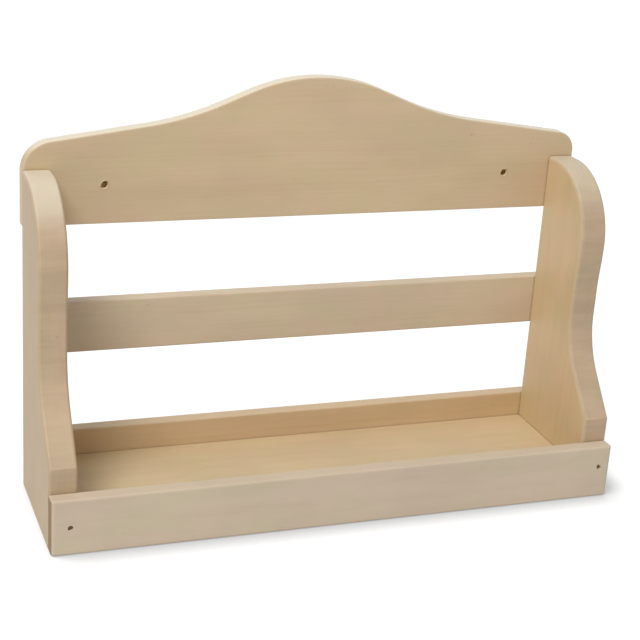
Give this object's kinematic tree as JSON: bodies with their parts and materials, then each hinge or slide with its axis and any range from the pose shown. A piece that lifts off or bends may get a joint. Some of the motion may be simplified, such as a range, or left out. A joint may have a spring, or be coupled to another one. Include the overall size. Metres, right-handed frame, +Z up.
{
  "type": "wall plate rack",
  "caption": "Wall rack of bare wood that holds plates upright on a shelf behind a lip, with an arched crest board and two holes for wall screws.",
  "frame": {"origin": "middle of the base rectangle, at the height of the base", "axes": "+X to the right along the rack, +Y towards the wall, +Z up"},
  "size_m": [0.4, 0.116, 0.283],
  "materials": {
    "panel_wood": "bare, sanded smooth, pale close-grained wood",
    "board_wood": "bare, sanded smooth, pale close-grained wood",
    "shelf_wood": "bare, sanded smooth, pale close-grained wood",
    "dowel_wood": "bare, turned smooth",
    "nail_steel": "plain drawn steel, dull"
  },
  "bodies": {
    "root": {"left_side_panel": "panel_wood", "right_side_panel": "panel_wood", "crest_board": "board_wood", "middle_rail": "board_wood", "lower_rail": "board_wood", "shelf_board": "shelf_wood", "front_lip": "board_wood", "lip_nails": "nail_steel", "crest_nails": "nail_steel", "middle_rail_nails": "nail_steel", "lower_rail_nails": "nail_steel", "shelf_nails": "nail_steel", "shelf_dowels": "dowel_wood"}
  },
  "joints": []
}
